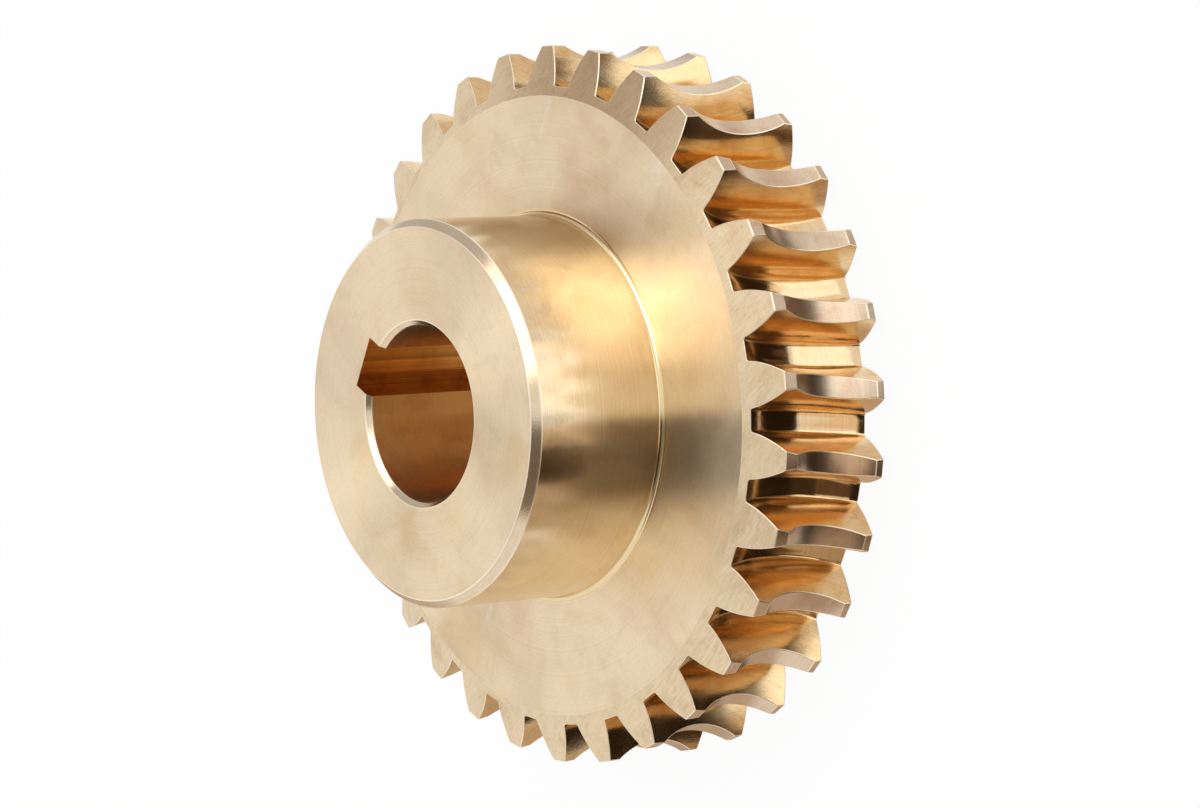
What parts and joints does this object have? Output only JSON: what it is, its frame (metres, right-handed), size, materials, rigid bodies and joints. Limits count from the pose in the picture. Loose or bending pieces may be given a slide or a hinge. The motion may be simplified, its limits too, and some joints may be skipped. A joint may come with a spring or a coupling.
{
  "type": "worm wheel",
  "caption": "Bronze worm wheel with right-hand throated teeth, a plain hub on one side and a keyed bore.",
  "frame": {"origin": "on the bore's axis at the flat back face, so the wheel stands on that face", "axes": "+Z along the bore's axis from the back face to the hub's end, +X through the middle of the keyway"},
  "size_m": [0.132, 0.132, 0.0552],
  "materials": {
    "bronze": "machined bronze, turned and hobbed, bright with fine tool marks"
  },
  "bodies": {
    "root": {"worm_wheel": "bronze"}
  },
  "joints": []
}
